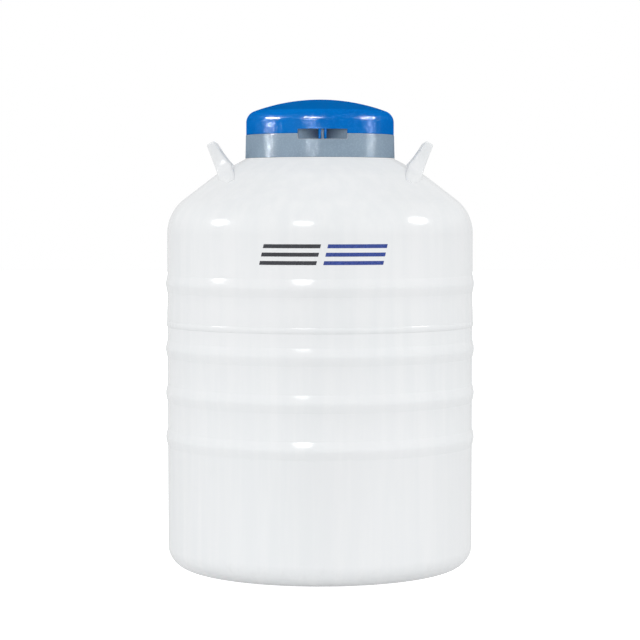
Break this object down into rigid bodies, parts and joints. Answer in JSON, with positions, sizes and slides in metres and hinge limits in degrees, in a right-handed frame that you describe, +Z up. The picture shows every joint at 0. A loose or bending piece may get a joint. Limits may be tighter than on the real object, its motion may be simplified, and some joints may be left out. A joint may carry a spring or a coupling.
{
  "type": "liquid nitrogen dewar",
  "caption": "Free-standing vacuum-insulated liquid nitrogen vessel with a beaded white shell, lifting handles, a lockable lift-off cover and hung canisters.",
  "frame": {"origin": "centre of the foot on the floor, on the vessel's axis", "axes": "+Z up along the vessel's axis; the front hasp faces -Y and the two handles are on +X and -X"},
  "size_m": [0.4619, 0.462, 0.6975],
  "materials": {
    "white_enamel": "gloss",
    "grey_plastic": "satin",
    "blue_plastic": "satin",
    "white_plastic": "satin",
    "plug_foam": "matte",
    "mill_aluminium": "satin",
    "bright_steel": "satin",
    "glass_fibre_neck": "satin",
    "foil_blanket": "satin",
    "sieve_bag": "matte",
    "copper_capsule": "satin",
    "black_rubber": "matte"
  },
  "bodies": {
    "vessel": {"upper_shell": "white_enamel", "lower_shell": "white_enamel", "seam_weld": "white_enamel", "handle_left": "white_enamel", "handle_right": "white_enamel", "inner_vessel_top": "mill_aluminium", "inner_vessel_tank": "mill_aluminium", "inner_girth_weld": "mill_aluminium", "neck_tube": "glass_fibre_neck", "neck_ring": "mill_aluminium", "insulation_blanket": "foil_blanket", "adsorbent_pack": "sieve_bag", "getter_capsule": "copper_capsule", "canister_spider": "mill_aluminium", "vacuum_port": "bright_steel", "vacuum_plug": "bright_steel", "vacuum_o_ring": "black_rubber", "collar": "grey_plastic", "collar_screws": "bright_steel", "index_ring": "white_plastic", "data_plate": "mill_aluminium", "plate_rivets": "mill_aluminium"},
    "lid": {"lid_cover": "blue_plastic", "lid_foam": "plug_foam", "lid_liner": "white_plastic", "liner_screws": "bright_steel", "neck_plug": "plug_foam", "plug_end_plate": "white_plastic", "plug_tie_rod": "glass_fibre_neck"},
    "vacuum_cap": {"vacuum_cap": "grey_plastic"},
    "canister_1": {"canister_1_cup": "bright_steel", "canister_1_stem": "bright_steel", "canister_1_grip": "white_plastic"},
    "canister_2": {"canister_2_cup": "bright_steel", "canister_2_stem": "bright_steel", "canister_2_grip": "white_plastic"},
    "canister_3": {"canister_3_cup": "bright_steel", "canister_3_stem": "bright_steel", "canister_3_grip": "white_plastic"},
    "canister_4": {"canister_4_cup": "bright_steel", "canister_4_stem": "bright_steel", "canister_4_grip": "white_plastic"},
    "canister_5": {"canister_5_cup": "bright_steel", "canister_5_stem": "bright_steel", "canister_5_grip": "white_plastic"},
    "canister_6": {"canister_6_cup": "bright_steel", "canister_6_stem": "bright_steel", "canister_6_grip": "white_plastic"}
  },
  "joints": [
    {"name": "lid_lift", "type": "slide", "parent": "vessel", "child": "lid", "axis": [0, 0, 1], "range_m": [0, 0.22]},
    {"name": "vacuum_cap_pull", "type": "slide", "parent": "vessel", "child": "vacuum_cap", "axis": [0, 0.6074, 0.7944], "range_m": [0, 0.03]},
    {"name": "canister_1_lift", "type": "slide", "parent": "vessel", "child": "canister_1", "axis": [0, 0, 1], "range_m": [0, 0.0085]},
    {"name": "canister_2_lift", "type": "slide", "parent": "vessel", "child": "canister_2", "axis": [0, 0, 1], "range_m": [0, 0.0085]},
    {"name": "canister_3_lift", "type": "slide", "parent": "vessel", "child": "canister_3", "axis": [0, 0, 1], "range_m": [0, 0.0085]},
    {"name": "canister_4_lift", "type": "slide", "parent": "vessel", "child": "canister_4", "axis": [0, 0, 1], "range_m": [0, 0.0085]},
    {"name": "canister_5_lift", "type": "slide", "parent": "vessel", "child": "canister_5", "axis": [0, 0, 1], "range_m": [0, 0.0085]},
    {"name": "canister_6_lift", "type": "slide", "parent": "vessel", "child": "canister_6", "axis": [0, 0, 1], "range_m": [0, 0.0085]}
  ]
}
